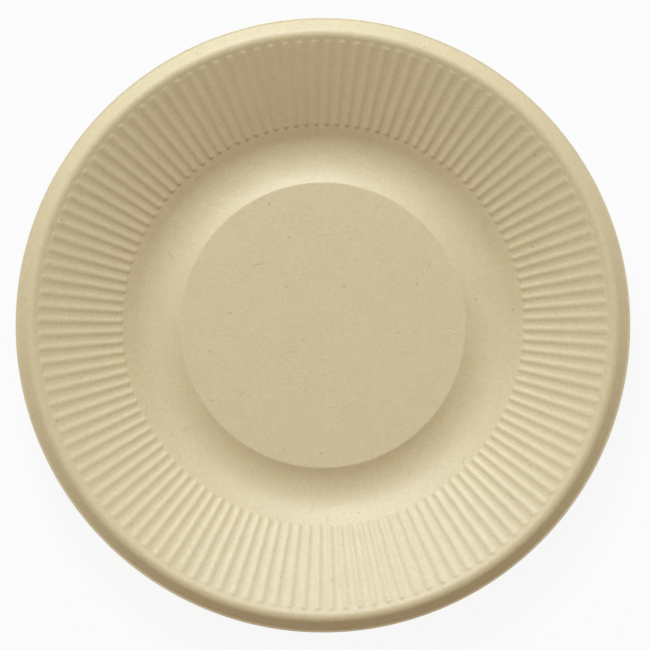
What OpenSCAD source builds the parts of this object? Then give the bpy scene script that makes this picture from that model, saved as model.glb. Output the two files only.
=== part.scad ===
// Moulded-fibre dinner plate: one pressed sheet with a raised centre panel, a rounded
// channel round it that the plate stands on, a ribbed rim and a turned-down lip.
// Millimetres, +Z up, origin on the table under the plate's centre.

/* [Plate] */
// Diameter over the trimmed outer edge
plate_d = 228; // [205:1:255]
// Height from the table to the top of the rim
plate_h = 20; // [17:0.5:24]
// Thickness of the pressed sheet
wall_t = 0.7; // [0.55:0.05:0.9]

/* [Centre panel] */
// Diameter of the flat panel, up to where its edge starts to turn down
panel_d = 106; // [90:0.2:110]
// Height of the panel above the bottom of the channel
panel_rise = 1.9; // [1:0.1:2.6]
// Radius of the panel's rounded edge
panel_edge_r = 1.2; // [0.9:0.1:2]

/* [Channel and foot] */
// Width of the slope from the flat panel down to the bottom of the channel
channel_in_w = 8.9; // [8:0.1:11]
// Width of the flat ring under the channel that meets the table
foot_flat_w = 3; // [1:0.5:5]
// Radius of the channel on its outer side, seen from above
channel_r = 19.2; // [12:0.2:21]

/* [Shoulder] */
// Width of the well, from the bottom of the channel to the bend under the ribbed rim
well_w = 11.9; // [10.5:0.1:15]
// Height of that bend above the bottom of the channel
shoulder_h = 3.9; // [2.5:0.1:4.5]

/* [Rim and lip] */
// Width of the lip, from the crest of the rim to the outer edge
lip_w = 5.8; // [5.4:0.1:8]
// Height of the crest above the flat brim at the outer edge
lip_drop = 3.2; // [2.2:0.1:3.6]
// Radius of the crest on the inner side
crest_in_r = 3.5; // [2:0.1:8]
// Radius of the crest on the outer side
crest_out_r = 3.4; // [1.6:0.1:3.6]
// Width of the flat brim at the outer edge
brim_w = 0.5; // [0.4:0.1:1.8]
// Radius of the bend between the lip and the brim
brim_bend_r = 0.7; // [0.4:0.1:1.2]
// Rounding of the trimmed edge
edge_r = 0.2; // [0.05:0.05:0.25]

/* [Ribs] */
// Number of ribs round the rim
rib_n = 124; // [80:1:140]
// Height of a rib at its inner end, and depth of the groove under it
rib_h = 0.34; // [0.24:0.02:0.4]
// Height of a rib at its outer end
rib_out_h = 0.24; // [0.16:0.02:0.4]
// Share of the pitch that a rib covers at its foot
rib_share = 0.6; // [0.4:0.02:0.7]
// Share of a rib's width that its flat top covers at the inner end
rib_top_share = 0.34; // [0.2:0.02:0.6]
// Length over which each end of a rib rises to its full height
rib_end = 1; // [0.4:0.1:2]
// Distance from the shoulder to where the ribs start
rib_gap_in = 0.8; // [0.2:0.1:3]
// Distance from the start of the crest back to where the ribs end
rib_gap_out = 1.1; // [0.4:0.1:4]

/* [Hidden] */

arc_step = 3.5;
rib_bury = 0.15;
plate_fn = 2 * rib_n;

plate_r = plate_d / 2;
panel_r = panel_d / 2;
foot_r = panel_r + channel_in_w;
shoulder_r = foot_r + well_w;
crest_r = plate_r - lip_w;

// The table is at 0 under the flat foot, so the curved underside is taken up by its sagitta
function sagitta(r, chord) = r - sqrt(r * r - chord * chord / 4);

// Largest sum of two radii that still joins two levels, rise apart, over the given run
function joining_r(run, rise) = (run * run + rise * rise) / (2 * rise);

// The inner side of the channel meets the panel's edge with no straight between them
inner_r = joining_r(channel_in_w, panel_rise) - panel_edge_r;
outer_r = min(channel_r, joining_r(well_w, shoulder_h));
under_r = min(inner_r, outer_r) + wall_t;
foot_sag = sagitta(under_r, foot_flat_w);

channel_z = wall_t - foot_sag;
panel_z = channel_z + panel_rise;
shoulder = [shoulder_r, channel_z + shoulder_h];
brim_z = plate_h - lip_drop;
lip_run = lip_w - brim_w;
lip_out_r = min(crest_out_r, joining_r(lip_run, lip_drop) - brim_bend_r);

panel_c = [panel_r, panel_z - panel_edge_r];
inner_c = [foot_r, channel_z + inner_r];
outer_c = [foot_r, channel_z + outer_r];
crest_in_c = [crest_r, plate_h - crest_in_r];
crest_out_c = [crest_r, plate_h - lip_out_r];
brim_c = [plate_r - brim_w, brim_z + brim_bend_r];

// Slope of the line from one circle to another that it crosses between; turn is 1 where
// the section stops curving up and starts curving down, and -1 the other way round
function slope_between(a, ra, b, rb, turn) =
    atan2(b.y - a.y, b.x - a.x) + turn * asin(min(1, (ra + rb) / norm(b - a)));

panel_a = slope_between(panel_c, panel_edge_r, inner_c, inner_r, -1);
well_a = slope_between(outer_c, outer_r, shoulder, 0, 1);
rim_a = slope_between(shoulder, 0, crest_in_c, crest_in_r, 1);
lip_a = slope_between(crest_out_c, lip_out_r, brim_c, brim_bend_r, -1);

// Unit normal of a stretch of the section at the given slope, pointing out of its upper face
function up(slope) = [-sin(slope), cos(slope)];

// Points along a rounded stretch as its slope goes from one value to another; side is 1
// where its centre is below the sheet and -1 where it is above
function arc(c, r, from, to, side) =
    let (n = max(1, ceil(abs(to - from) / arc_step)))
    [for (i = [0:n]) c + side * r * up(from + (to - from) * i / n)];

// One face of the sheet from the axis to the brim, depth below the upper face; the two
// channel stretches stop short of level at flat on each side, which leaves the flat foot
function face(depth, flat) = concat(
    [[0, panel_z - depth]],
    arc(panel_c, panel_edge_r - depth, 0, panel_a, 1),
    arc(inner_c, inner_r + depth, panel_a, -asin(flat / (inner_r + depth)), -1),
    arc(outer_c, outer_r + depth, asin(flat / (outer_r + depth)), well_a, -1),
    [shoulder - depth / cos((well_a - rim_a) / 2) * up((well_a + rim_a) / 2)],
    arc(crest_in_c, crest_in_r - depth, rim_a, 0, 1),
    arc(crest_out_c, lip_out_r - depth, 0, lip_a, 1),
    arc(brim_c, brim_bend_r + depth, lip_a, 0, -1)
);

function reversed(list) = [for (i = [len(list) - 1:-1:0]) list[i]];

edge_x = plate_r - edge_r;
section = concat(
    face(0, 0),
    arc([edge_x, brim_z - edge_r], edge_r, 0, -90, 1),
    arc([edge_x, brim_z - wall_t + edge_r], edge_r, -90, -180, 1),
    reversed([for (p = face(wall_t, foot_flat_w / 2)) [p.x, max(p.y, 0)]])
);

// Straight stretch of the rim that carries the ribs, measured along its slope
rim_end = crest_in_c + crest_in_r * up(rim_a);
rib_from = shoulder + rib_gap_in * [cos(rim_a), sin(rim_a)];
rib_len = norm(rim_end - shoulder) - rib_gap_in - rib_gap_out;

function rib_w(r) = rib_share * 2 * PI * r / rib_n;

rib_w_in = rib_w(rib_from.x);
rib_w_out = rib_w(rib_from.x + rib_len * cos(rim_a));
flank_lean = rib_w_in * (1 - rib_top_share) / 2;
flank_turn = atan((rib_w_out - rib_w_in) / 2 / rib_len);

// How far the slanting end of a rib of height h goes on under the sheet's face
function foot_reach(h) = rib_end * rib_bury / h;

// Side view of a rib: its ends rise at a slant, and its foot is buried in the sheet
module rib_side() {
    polygon([
        [-foot_reach(rib_h), -rib_bury],
        [rib_len + foot_reach(rib_out_h), -rib_bury],
        [rib_len - rib_end, rib_out_h],
        [rib_end, rib_h]
    ]);
}

// End view of all that lies inside one flank, which leans in as it rises
module flank_view() {
    foot_lean = flank_lean * rib_bury / rib_h;
    polygon([
        [-rib_w_out, -2 * rib_bury],
        [2 * foot_lean, -2 * rib_bury],
        [-2 * flank_lean, 2 * rib_h],
        [-rib_w_out, 2 * rib_h]
    ]);
}

module flank() {
    translate([0, rib_w_in / 2, 0])
        rotate([0, 0, flank_turn])
        translate([-rib_len / 2, 0, 0])
        rotate([90, 0, 90])
        linear_extrude(height = 2 * rib_len) flank_view();
}

// One rib lying along X on the sheet's face at 0, wider at its outer end like the pitch
module rib() {
    intersection() {
        rotate([90, 0, 0])
            linear_extrude(height = 2 * rib_w_out, center = true) rib_side();
        flank();
        mirror([0, 1, 0]) flank();
    }
}

module ribs(depth) {
    for (i = [0:rib_n - 1])
        rotate([0, 0, 360 * i / rib_n])
        translate([rib_from.x, 0, rib_from.y])
        rotate([0, -rim_a, 0])
        translate([0, 0, -depth])
        rib();
}

// The ribs are pressed through the sheet, so each has its groove underneath
module plate() {
    color([0.8, 0.75, 0.61])
    difference() {
        union() {
            rotate_extrude($fn = plate_fn) polygon(section);
            ribs(0);
        }
        ribs(wall_t);
    }
}

plate();
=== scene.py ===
import math

import bmesh
import bpy
from mathutils import Matrix, Vector


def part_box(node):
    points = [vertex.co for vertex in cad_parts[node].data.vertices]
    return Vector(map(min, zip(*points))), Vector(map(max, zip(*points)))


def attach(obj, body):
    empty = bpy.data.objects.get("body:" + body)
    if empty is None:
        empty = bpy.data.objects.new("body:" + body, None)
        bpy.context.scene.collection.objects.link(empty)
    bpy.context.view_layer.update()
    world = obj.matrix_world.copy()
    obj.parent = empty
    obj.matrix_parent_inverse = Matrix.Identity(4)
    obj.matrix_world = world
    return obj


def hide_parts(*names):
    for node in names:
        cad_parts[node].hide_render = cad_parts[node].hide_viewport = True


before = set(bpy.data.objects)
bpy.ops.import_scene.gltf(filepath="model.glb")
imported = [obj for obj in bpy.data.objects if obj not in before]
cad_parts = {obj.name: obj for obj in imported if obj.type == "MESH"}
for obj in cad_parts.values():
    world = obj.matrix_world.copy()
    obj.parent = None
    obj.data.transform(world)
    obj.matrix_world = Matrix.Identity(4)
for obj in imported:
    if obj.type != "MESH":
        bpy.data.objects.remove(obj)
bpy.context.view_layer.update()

MM = 0.001
TURN = 2 * math.pi

# Overall size, from the frame, and the thickness of the sheet
plate_top_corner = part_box("plate")[1]
PLATE_R = plate_top_corner[0]
PLATE_H = plate_top_corner[2]
WALL = 0.7 * MM

# Centre panel, with the narrow flat ring of faces that ends it before its edge turns down
PANEL_R = 53.0 * MM
PANEL_RISE = 1.9 * MM
PANEL_EDGE_R = 1.2 * MM
PANEL_RING = 0.8 * MM

# Channel and foot
FOOT_R = PANEL_R + 8.9 * MM
FOOT_FLAT = 3.0 * MM
CHANNEL_R = 19.2 * MM

# Shoulder, where the well meets the ribbed rim
SHOULDER_R = FOOT_R + 11.9 * MM
SHOULDER_RISE = 3.9 * MM

# Rim and lip
LIP_W = 5.8 * MM
LIP_DROP = 3.2 * MM
CREST_IN_R = 3.5 * MM
CREST_OUT_R = 3.4 * MM
BRIM_W = 0.5 * MM
BRIM_BEND_R = 0.7 * MM
TRIM_R = 0.2 * MM

# Ribs, and the columns of faces round the plate
RIBS = 124
RIB_H = 0.34 * MM
RIB_OUT_H = 0.24 * MM
RIB_SHARE = 0.6
RIB_END = 1.0 * MM
RIB_GAP_IN = 0.8 * MM
RIB_GAP_OUT = 1.1 * MM
COLUMNS = 8 * RIBS

# Points closer than this are one, and corners sharper than this are the trimmed edge's
SAME_POINT = 0.001 * MM
TRIM_CORNER = math.radians(60)

# The upper side has the first finish, and the underside the second
UNDERSIDE = 1

# Colours of the pulp, linear
PULP = (0.597, 0.499, 0.296, 1)
PULP_FIBRE = (0.648, 0.549, 0.342, 1)
PULP_STRAW = (0.72, 0.64, 0.44, 1)
PULP_BRAN = (0.20, 0.13, 0.06, 1)

# How strongly the parts of the pulp show in its colour, relief and gloss
STRAW_SHADE = 0.5
BRAN_SHADE = 0.4
CLOUD_SHADE = 0.015
GRAIN_SHADE = 0.03
STRAW_RELIEF = 0.5
GRAIN_RELIEF = 0.6
FIBRE_GLOSS = 0.05
PULP_GLOSS = 0.8

# Fibres: layers that are turned and moved against each other, each a stretched noise
# that shows from a level up, with a soft edge, bent so many times in a metre and by so much
FIBRE_LAYERS = 5
FIBRE_FIRST_TURN = 0.35
FIBRE_MOVE = (0.013, 0.007, 0.011)
FIBRE_LEVEL = 0.8
FIBRE_EDGE = 0.14
FIBRE_BENDS = 420
FIBRE_SWAY = 0.9 * MM

# Flecks: torn so many times in a metre and by so much, with a full core of this share
FLECK_TEARS = 1500
FLECK_SWAY = 0.7 * MM
FLECK_CORE = 0.55

# Clouds: the levels of the noise that are taken as the darkest and the palest
CLOUD_LOW = 0.25
CLOUD_HIGH = 0.75

# Floor: its colour, and how white it shows away from the plate and under it; the lesser white under
# it is painted shade that darkens the floor towards the plate's foot
FLOOR_COLOUR = (0.6, 0.6, 0.6, 1)
FLOOR_WHITE = 0.92
FLOOR_WHITE_UNDER_PAINTED_SHADE = 0.55
FLOOR_SIDE = 4
WHITE = (1, 1, 1, 1)

# The plate's place in a picture of 650 by 650 pixels, and how far the ribs are turned in it
PICTURE_PX = 650
PLATE_R_PX = 307.7
CENTRE_PX = (322.9, 325.2)
CAMERA_ROLL = math.radians(1.07)
CAMERA_H = 2.5
SENSOR = 36

# Studio light: what the key and the fill each add to a level white surface, and how high
# the white backdrop stands, as the sine of its elevation
KEY_LIGHT = (0.62, 0.70, 0.78)
FILL_LIGHT = (0.38, 0.30, 0.22)
KEY_ELEVATION = math.radians(41)
KEY_TURN = math.radians(10)
KEY_DISTANCE = 2.6
KEY_SIDE = 0.8
BACKDROP_WHITE = 0.1
BACKDROP_END = 0.25


def joining_radius(run, rise):
    """Sum of two radii that joins two levels over a run with no straight between them."""
    return (run * run + rise * rise) / (2 * rise)


def slope_between(a, ra, b, rb, side):
    """Slope of the line that touches two circles and crosses between them."""
    line = b - a
    return math.atan2(line.y, line.x) + side * math.asin(min(1, (ra + rb) / line.length))


def heading(slope):
    """Direction along the section, where it climbs at this slope."""
    return Vector((math.cos(slope), 0, math.sin(slope)))


def outward(slope):
    """Direction out of the sheet's upper face, where it climbs at this slope."""
    return Vector((-math.sin(slope), 0, math.cos(slope)))


def on_circle(centre, radius, slope):
    """Point of the section on a circle, where the upper face climbs at this slope."""
    return centre + Vector(outward(slope).xz) * radius


# The section's levels, circles and slopes, worked out as on the drawing
inner_r = joining_radius(FOOT_R - PANEL_R, PANEL_RISE) - PANEL_EDGE_R
under_r = min(inner_r, CHANNEL_R) + WALL
channel_z = WALL - (under_r - math.sqrt(under_r**2 - FOOT_FLAT**2 / 4))
panel_z = channel_z + PANEL_RISE
crest_x = PLATE_R - LIP_W

panel_c = Vector((PANEL_R, panel_z - PANEL_EDGE_R))
inner_c = Vector((FOOT_R, channel_z + inner_r))
outer_c = Vector((FOOT_R, channel_z + CHANNEL_R))
shoulder = Vector((SHOULDER_R, channel_z + SHOULDER_RISE))
crest_in_c = Vector((crest_x, PLATE_H - CREST_IN_R))
crest_out_c = Vector((crest_x, PLATE_H - CREST_OUT_R))
brim_c = Vector((PLATE_R - BRIM_W, PLATE_H - LIP_DROP + BRIM_BEND_R))

panel_slope = slope_between(panel_c, PANEL_EDGE_R, inner_c, inner_r, -1)
well_slope = slope_between(outer_c, CHANNEL_R, shoulder, 0, 1)
rim_slope = slope_between(shoulder, 0, crest_in_c, CREST_IN_R, 1)
lip_slope = slope_between(crest_out_c, CREST_OUT_R, brim_c, BRIM_BEND_R, -1)

crest_start = on_circle(crest_in_c, CREST_IN_R, rim_slope)
lip_end = on_circle(brim_c, -BRIM_BEND_R, lip_slope)
rib_len = (crest_start - shoulder).length - RIB_GAP_IN - RIB_GAP_OUT


def straight(bm, tip, slope, length, parts=1):
    """Draws the section on in a straight line, and returns its new tip."""
    for _ in range(parts):
        tip = bmesh.ops.extrude_vert_indiv(bm, verts=[tip])["verts"][0]
        tip.co += heading(slope) * (length / parts)
    return tip


def bend(bm, tip, slope, new_slope, radius, parts):
    """Draws the section on round a bend, and returns its new tip."""
    side = 1 if new_slope > slope else -1
    turned = bmesh.ops.spin(
        bm, geom=[tip], cent=tip.co + outward(slope) * radius * side, axis=(0, -1, 0),
        angle=new_slope - slope, steps=parts, use_duplicate=False,
    )
    return next(v for v in turned["geom_last"] if isinstance(v, bmesh.types.BMVert))


def gap(tip, point):
    """Distance in the section from the tip drawn so far to a planned point."""
    return math.hypot(point.x - tip.co.x, point.y - tip.co.z)


def draw_section(bm):
    """The upper face of the sheet, from the axis to the outer edge."""
    tip = bm.verts.new((0, 0, panel_z))
    tip = straight(bm, tip, 0, PANEL_R - PANEL_RING)
    tip = straight(bm, tip, 0, PANEL_RING)
    tip = bend(bm, tip, 0, panel_slope, PANEL_EDGE_R, parts=3)
    tip = bend(bm, tip, panel_slope, 0, inner_r, parts=5)
    tip = bend(bm, tip, 0, well_slope, CHANNEL_R, parts=6)
    tip = straight(bm, tip, well_slope, gap(tip, shoulder))
    tip = straight(bm, tip, rim_slope, RIB_GAP_IN)
    tip = straight(bm, tip, rim_slope, RIB_END, parts=4)
    tip = straight(bm, tip, rim_slope, rib_len - 2 * RIB_END, parts=2)
    tip = straight(bm, tip, rim_slope, RIB_END, parts=4)
    tip = straight(bm, tip, rim_slope, RIB_GAP_OUT)
    tip = bend(bm, tip, rim_slope, 0, CREST_IN_R, parts=4)
    tip = bend(bm, tip, 0, lip_slope, CREST_OUT_R, parts=5)
    tip = straight(bm, tip, lip_slope, gap(tip, lip_end))
    tip = bend(bm, tip, lip_slope, 0, BRIM_BEND_R, parts=3)
    straight(bm, tip, 0, BRIM_W)


def rib_height(co):
    """How far the ribs lift a point of the upper face: round backs with round ends."""
    along = (math.hypot(co.x, co.y) - SHOULDER_R) / math.cos(rim_slope) - RIB_GAP_IN
    past_end = max(RIB_END - along, along - (rib_len - RIB_END), 0) / RIB_END
    across = math.atan2(co.y, co.x) / TURN * RIBS
    off_centre = (across - round(across)) / (RIB_SHARE / 2)
    full = RIB_H + (RIB_OUT_H - RIB_H) * along / rib_len
    return full * max(0, 1 - past_end**2 - off_centre**2)


def press_ribs(bm):
    """Lifts the ribs square to the slope of the rim."""
    for v in bm.verts:
        lift = rib_height(v.co)
        if lift > 0:
            out = Vector((v.co.x, v.co.y, 0)).normalized()
            v.co += lift * Vector((
                -out.x * math.sin(rim_slope), -out.y * math.sin(rim_slope), math.cos(rim_slope),
            ))


def spin_sheet(bm):
    """Turns the section round the plate's axis, with its faces looking up."""
    bmesh.ops.spin(
        bm, geom=bm.verts[:] + bm.edges[:], cent=(0, 0, 0), axis=(0, 0, 1),
        angle=TURN, steps=COLUMNS, use_merge=True, use_duplicate=False,
    )
    bmesh.ops.remove_doubles(bm, verts=bm.verts, dist=SAME_POINT)
    bmesh.ops.recalc_face_normals(bm, faces=bm.faces)
    if sum(f.normal.z for f in bm.faces) < 0:
        bmesh.ops.reverse_faces(bm, faces=bm.faces)


def thicken(bm):
    """Gives the sheet its underside, level where the foot meets the table."""
    shell = bmesh.ops.solidify(bm, geom=bm.faces[:], thickness=WALL)
    for face in shell["geom"]:
        if isinstance(face, bmesh.types.BMFace):
            face.material_index = UNDERSIDE
    for v in bm.verts:
        v.co.z = max(v.co.z, 0)


def round_trim(bm):
    """Rounds the two corners of the trimmed outer edge."""
    corners = [e for e in bm.edges if e.calc_face_angle(0) > TRIM_CORNER]
    bmesh.ops.bevel(
        bm, geom=corners, offset=TRIM_R, segments=2, profile=0.5, affect="EDGES", material=-1,
    )


def new_object(name, bm, materials):
    """Makes a bmesh into an object of the scene, with its materials."""
    mesh = bpy.data.meshes.new(name)
    bm.to_mesh(mesh)
    bm.free()
    for material in materials:
        mesh.materials.append(material)
    thing = bpy.data.objects.new(name, mesh)
    bpy.context.scene.collection.objects.link(thing)
    return thing


def make_plate(finishes):
    """The whole sheet: spun from its section, pressed, thickened and trimmed."""
    bm = bmesh.new()
    draw_section(bm)
    spin_sheet(bm)
    press_ribs(bm)
    thicken(bm)
    round_trim(bm)
    bm.normal_update()
    for face in bm.faces:
        face.smooth = True
    return new_object("pressed_plate", bm, finishes)


def add(tree, kind, inputs=None, **settings):
    """Adds a node with its options, and fills inputs with values or with links."""
    node = tree.nodes.new(kind)
    for name, value in settings.items():
        setattr(node, name, value)
    for name, value in (inputs or {}).items():
        if isinstance(value, bpy.types.NodeSocket):
            tree.links.new(value, node.inputs[name])
        else:
            node.inputs[name].default_value = value
    return node


def math_node(tree, operation, a, b=0.0, c=0.0):
    """One step of arithmetic; the third value counts only where the operation has three."""
    return add(tree, "ShaderNodeMath", {0: a, 1: b, 2: c}, operation=operation).outputs[0]


def smooth_step(tree, value, low, high, to_low=0.0, to_high=1.0):
    """Goes from one value to another with soft ends, as the input goes from low to high."""
    return add(
        tree, "ShaderNodeMapRange",
        {"Value": value, "From Min": low, "From Max": high, "To Min": to_low, "To Max": to_high},
        interpolation_type="SMOOTHSTEP",
    ).outputs["Result"]


def tint(tree, factor, a, b):
    """Mixes two colours, which are inputs 6 and 7 of the node, into its output 2."""
    return add(tree, "ShaderNodeMix", {0: factor, 6: a, 7: b}, data_type="RGBA").outputs[2]


def push_aside(tree, place, waves, detail, reach):
    """Moves a place by a noise with so many waves in a metre."""
    noise = add(tree, "ShaderNodeTexNoise", {"Vector": place, "Scale": waves, "Detail": detail})
    return add(
        tree, "ShaderNodeVectorMath", {0: noise.outputs["Color"], 1: (reach,) * 3, 2: place},
        operation="MULTIPLY_ADD",
    ).outputs[0]


def new_group(name, inputs, output):
    """An empty effect group with its named sockets; each input but Vector is a number."""
    group = bpy.data.node_groups.new(name, "ShaderNodeTree")
    group.interface.new_socket(name="Vector", in_out="INPUT", socket_type="NodeSocketVector")
    for socket in inputs:
        group.interface.new_socket(name=socket, in_out="INPUT", socket_type="NodeSocketFloat")
    group.interface.new_socket(name=output, in_out="OUTPUT", socket_type="NodeSocketFloat")
    return group, add(group, "NodeGroupInput").outputs, add(group, "NodeGroupOutput").inputs


def fibre_group():
    """Fibres in every direction: 0 between them, 1 on their backs. More Cover gives more."""
    group, given, result = new_group("fibres", ["Length", "Width", "Cover"], "Fibres")
    bent = push_aside(group, given["Vector"], FIBRE_BENDS, 1, FIBRE_SWAY)
    size = add(group, "ShaderNodeCombineXYZ",
               {"X": given["Length"], "Y": given["Width"], "Z": given["Length"]})
    edge = math_node(group, "SUBTRACT", FIBRE_LEVEL, given["Cover"])
    peak = math_node(group, "ADD", edge, FIBRE_EDGE)
    tangle = None
    for layer in range(FIBRE_LAYERS):
        turned = add(
            group, "ShaderNodeMapping",
            {"Vector": bent, "Scale": size.outputs[0],
             "Rotation": (0, 0, math.pi * (layer + FIBRE_FIRST_TURN) / FIBRE_LAYERS),
             "Location": tuple(step * layer for step in FIBRE_MOVE)},
            vector_type="TEXTURE",
        )
        streaks = add(group, "ShaderNodeTexNoise",
                      {"Vector": turned.outputs[0], "Scale": 1, "Detail": 0})
        fibres = smooth_step(group, streaks.outputs["Fac"], edge, peak)
        tangle = fibres if tangle is None else math_node(group, "MAXIMUM", tangle, fibres)
    group.links.new(tangle, result["Fibres"])
    return group


def fleck_group():
    """Sparse ragged specks, in a share of the cells that they are spaced by."""
    group, given, result = new_group("flecks", ["Spacing", "Size", "Share"], "Flecks")
    torn = push_aside(group, given["Vector"], FLECK_TEARS, 2, FLECK_SWAY)
    cells = add(group, "ShaderNodeTexVoronoi",
                {"Vector": torn, "Scale": math_node(group, "DIVIDE", 1, given["Spacing"])})
    reach = math_node(group, "MULTIPLY", cells.outputs["Distance"], given["Spacing"])
    near = math_node(group, "DIVIDE", reach, given["Size"])
    speck = smooth_step(group, near, 1.0, FLECK_CORE)
    chance = add(group, "ShaderNodeSeparateColor", {"Color": cells.outputs["Color"]})
    chosen = math_node(group, "LESS_THAN", chance.outputs[0], given["Share"])
    group.links.new(math_node(group, "MULTIPLY", speck, chosen), result["Flecks"])
    return group


def mottle_group():
    """Uneven stock: soft clouds from -1 to 1."""
    group, given, result = new_group("mottle", ["Size"], "Mottle")
    clouds = add(
        group, "ShaderNodeTexNoise",
        {"Vector": given["Vector"], "Scale": math_node(group, "DIVIDE", 1, given["Size"]),
         "Detail": 3, "Roughness": 0.55},
    )
    mottle = smooth_step(group, clouds.outputs["Fac"], CLOUD_LOW, CLOUD_HIGH, -1.0, 1.0)
    group.links.new(mottle, result["Mottle"])
    return group


def screen_group():
    """The weave of the forming screen, as a height from -1 to 1."""
    group, given, result = new_group("screen_marks", ["Pitch"], "Weave")
    place = add(group, "ShaderNodeSeparateXYZ", {"Vector": given["Vector"]})
    turns = math_node(group, "DIVIDE", TURN, given["Pitch"])
    waves = [
        math_node(group, "SINE", math_node(group, "MULTIPLY", place.outputs[axis], turns))
        for axis in ("X", "Y")
    ]
    group.links.new(math_node(group, "MULTIPLY", *waves), result["Weave"])
    return group


def use(tree, group, inputs):
    """Places an effect group in a material, with its own values."""
    return add(tree, "ShaderNodeGroup", inputs, node_tree=group).outputs[0]


def new_material(name):
    material = bpy.data.materials.new(name)
    material.use_nodes = True
    material.node_tree.nodes.clear()
    return material, material.node_tree


def pulp_colour(tree, effects, place, fine, straw, grain):
    """Tan stock with paler fibres and straw, soft clouds, and a little bran and bark."""
    bark = use(tree, effects["fibres"],
               {"Vector": place, "Length": 7 * MM, "Width": 0.35 * MM, "Cover": 0.01})
    bran = use(tree, effects["flecks"],
               {"Vector": place, "Spacing": 7 * MM, "Size": 0.55 * MM, "Share": 0.22})
    clouds = use(tree, effects["mottle"], {"Vector": place, "Size": 9 * MM})
    stock = tint(tree, fine, PULP, PULP_FIBRE)
    stock = tint(tree, math_node(tree, "MULTIPLY", straw, STRAW_SHADE), stock, PULP_STRAW)
    cloudy = math_node(tree, "MULTIPLY_ADD", clouds, CLOUD_SHADE, 1.0)
    tone = math_node(tree, "MULTIPLY_ADD", grain, GRAIN_SHADE, cloudy)
    toned = add(tree, "ShaderNodeVectorMath", {0: stock, "Scale": tone}, operation="SCALE")
    dark = math_node(tree, "MULTIPLY", math_node(tree, "MAXIMUM", bran, bark), BRAN_SHADE)
    return tint(tree, dark, toned.outputs[0], PULP_BRAN)


def pulp_relief(tree, effects, place, fine, straw, grain, fibre_depth, screen_depth):
    """Fibres and grain that stand up from the sheet, over the marks of the screen."""
    tangle = math_node(tree, "MULTIPLY_ADD", straw, STRAW_RELIEF, fine)
    lumps = math_node(tree, "MULTIPLY_ADD", grain, GRAIN_RELIEF, tangle)
    bump = add(tree, "ShaderNodeBump", {"Height": lumps, "Distance": fibre_depth})
    if screen_depth:
        weave = use(tree, effects["screen_marks"], {"Vector": place, "Pitch": 0.62 * MM})
        bump = add(tree, "ShaderNodeBump",
                   {"Height": weave, "Distance": screen_depth, "Normal": bump.outputs[0]})
    return bump.outputs[0]


def pulp(name, effects, screen_depth, fibre_depth, roughness):
    """Pressed plant fibre. The underside keeps more of its fibre and of the screen."""
    material, tree = new_material(name)
    place = add(tree, "ShaderNodeTexCoord").outputs["Object"]
    fine = use(tree, effects["fibres"],
               {"Vector": place, "Length": 1.6 * MM, "Width": 0.11 * MM, "Cover": 0.15})
    straw = use(tree, effects["fibres"],
                {"Vector": place, "Length": 4.5 * MM, "Width": 0.22 * MM, "Cover": 0.08})
    grain = use(tree, effects["mottle"], {"Vector": place, "Size": 1.3 * MM})
    surface = add(
        tree, "ShaderNodeBsdfPrincipled",
        {"Base Color": pulp_colour(tree, effects, place, fine, straw, grain),
         "Roughness": smooth_step(
             tree, fine, 0.0, 1.0, roughness + FIBRE_GLOSS, roughness - FIBRE_GLOSS),
         "Normal": pulp_relief(
             tree, effects, place, fine, straw, grain, fibre_depth, screen_depth),
         "Specular IOR Level": PULP_GLOSS},
    )
    add(tree, "ShaderNodeOutputMaterial", {"Surface": surface.outputs[0]})
    return material


def seen_white(tree):
    """1 for a ray that shows the background: straight from the camera, or in a gloss."""
    path = add(tree, "ShaderNodeLightPath").outputs
    seen = math_node(tree, "MAXIMUM", path["Is Camera Ray"], path["Is Glossy Ray"])
    return math_node(tree, "MAXIMUM", seen, path["Is Transmission Ray"])


def make_world():
    """The fill, from all round. Low down, a camera or a gloss sees a white backdrop."""
    world = bpy.data.worlds.new("studio")
    world.use_nodes = True
    tree = world.node_tree
    tree.nodes.clear()
    way = add(tree, "ShaderNodeTexCoord").outputs["Generated"]
    height = add(tree, "ShaderNodeSeparateXYZ", {"Vector": way}).outputs["Z"]
    low = smooth_step(tree, height, BACKDROP_END, BACKDROP_WHITE)
    white = math_node(tree, "MULTIPLY", low, seen_white(tree))
    sky = tint(tree, white, (*FILL_LIGHT, 1), WHITE)
    light = add(tree, "ShaderNodeBackground", {"Color": sky, "Strength": 1})
    add(tree, "ShaderNodeOutputWorld", {"Surface": light.outputs[0]})
    bpy.context.scene.world = world


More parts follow.
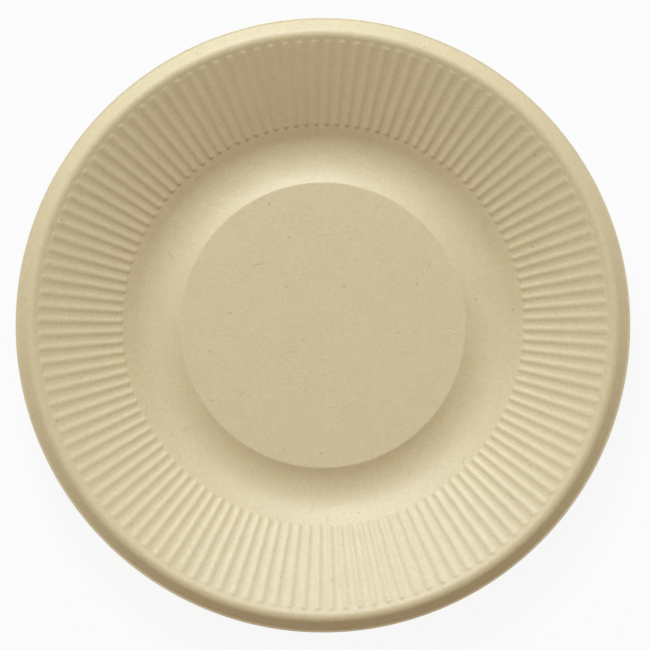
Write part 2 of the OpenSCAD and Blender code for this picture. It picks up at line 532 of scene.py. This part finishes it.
def make_floor():
    """A pale floor that shows white, less so under the plate as painted shade, and keeps its
    shadow.
    """
    material, tree = new_material("pale_floor")
    matt = add(tree, "ShaderNodeBsdfDiffuse", {"Color": FLOOR_COLOUR})
    white = add(tree, "ShaderNodeEmission", {"Color": WHITE, "Strength": 1})
    place = add(tree, "ShaderNodeTexCoord").outputs["Object"]
    from_centre = add(tree, "ShaderNodeVectorMath", {0: place}, operation="LENGTH").outputs["Value"]
    # Painted shade: the floor shows less white towards the plate's foot, so it is darker there even
    # where the lamp reaches it
    white_less_by_painted_shade = smooth_step(tree, from_centre, FOOT_R, PLATE_R, FLOOR_WHITE_UNDER_PAINTED_SHADE, FLOOR_WHITE)
    share = math_node(tree, "MULTIPLY", seen_white(tree), white_less_by_painted_shade)
    both = add(tree, "ShaderNodeMixShader", {0: share, 1: matt.outputs[0], 2: white.outputs[0]})
    add(tree, "ShaderNodeOutputMaterial", {"Surface": both.outputs[0]})
    bm = bmesh.new()
    bmesh.ops.create_grid(bm, x_segments=1, y_segments=1, size=FLOOR_SIDE / 2)
    floor = new_object("floor", bm, [material])


def make_key_light():
    """One soft lamp from the top of the picture, a little to its left."""
    level = KEY_DISTANCE * math.cos(KEY_ELEVATION)
    turn = KEY_TURN + CAMERA_ROLL
    lamp = bpy.data.lights.new("key", "AREA")
    lamp.shape = "SQUARE"
    lamp.size = KEY_SIDE
    # At this power the lamp adds its own colour to a level white surface under the plate
    lamp.energy = math.pi**2 * KEY_DISTANCE**2 / math.sin(KEY_ELEVATION)
    lamp.color = KEY_LIGHT
    key = bpy.data.objects.new("key", lamp)
    key.location = (
        -level * math.sin(turn), level * math.cos(turn), KEY_DISTANCE * math.sin(KEY_ELEVATION),
    )
    key.rotation_euler = Vector(key.location).to_track_quat("Z", "Y").to_euler()
    key.visible_camera = False
    bpy.context.scene.collection.objects.link(key)


def make_camera():
    """Straight above, with the plate as large, as placed and as turned as in the picture."""
    m_per_px = PLATE_R / PLATE_R_PX
    data = bpy.data.cameras.new("camera")
    data.sensor_width = SENSOR
    data.lens = SENSOR * (CAMERA_H - PLATE_H) / (PICTURE_PX * m_per_px)
    camera = bpy.data.objects.new("camera", data)
    right = (PICTURE_PX / 2 - CENTRE_PX[0]) * m_per_px
    up = (CENTRE_PX[1] - PICTURE_PX / 2) * m_per_px
    roll = Matrix.Rotation(CAMERA_ROLL, 4, "Z")
    camera.matrix_world = roll @ Matrix.Translation((right, up, CAMERA_H))
    bpy.context.scene.collection.objects.link(camera)
    bpy.context.scene.camera = camera


effects = {
    "fibres": fibre_group(),
    "flecks": fleck_group(),
    "mottle": mottle_group(),
    "screen_marks": screen_group(),
}
smooth_side = pulp("pulp_upper", effects, 0, 0.02 * MM, 0.47)
screen_side = pulp("pulp_under", effects, 0.03 * MM, 0.035 * MM, 0.65)

plate = make_plate([smooth_side, screen_side])
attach(plate, "root")
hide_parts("plate")

make_world()
make_floor()
make_key_light()
make_camera()
bpy.context.scene.view_settings.view_transform = "Standard"
